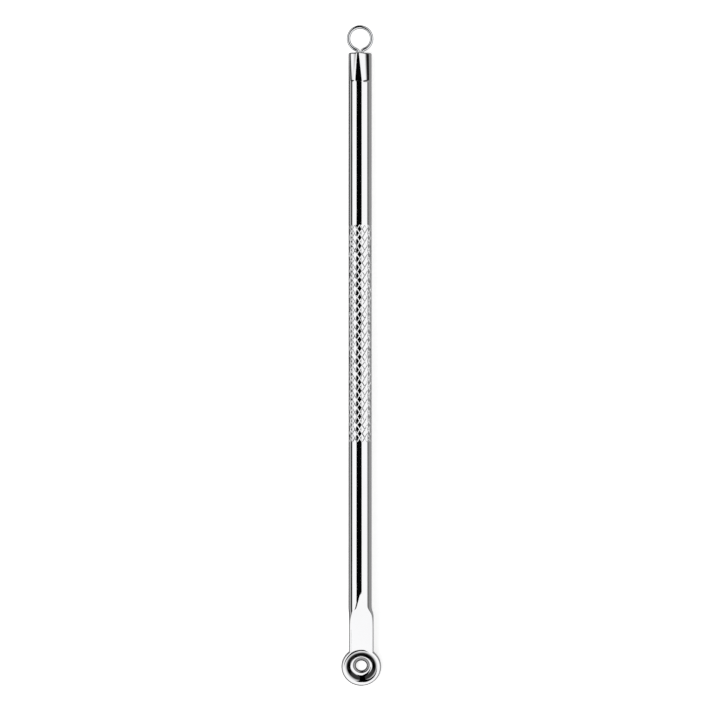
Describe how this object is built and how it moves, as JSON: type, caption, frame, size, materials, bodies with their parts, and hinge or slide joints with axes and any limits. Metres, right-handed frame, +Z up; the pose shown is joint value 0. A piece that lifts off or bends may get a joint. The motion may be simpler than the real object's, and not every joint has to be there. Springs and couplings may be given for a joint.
{
  "type": "blackhead extractor",
  "caption": "Slim double-ended skin tool: knurled round grip, angled dished cup with a centre hole at one end, round wire loop crimped in at the other.",
  "frame": {"origin": "on the table under the middle of the tool as it lies at rest, with the cup's centre on the XZ plane", "axes": "+X along the tool toward the wire loop, +Y across it, +Z up out of the dish"},
  "size_m": [0.1198, 0.0072, 0.0056],
  "materials": {
    "polished_steel": "mirror-polished stainless steel with a bright rolled diamond knurl",
    "spring_wire": "bright drawn stainless wire"
  },
  "bodies": {
    "root": {"knurled_bar": "polished_steel", "wire_loop": "spring_wire"}
  },
  "joints": []
}
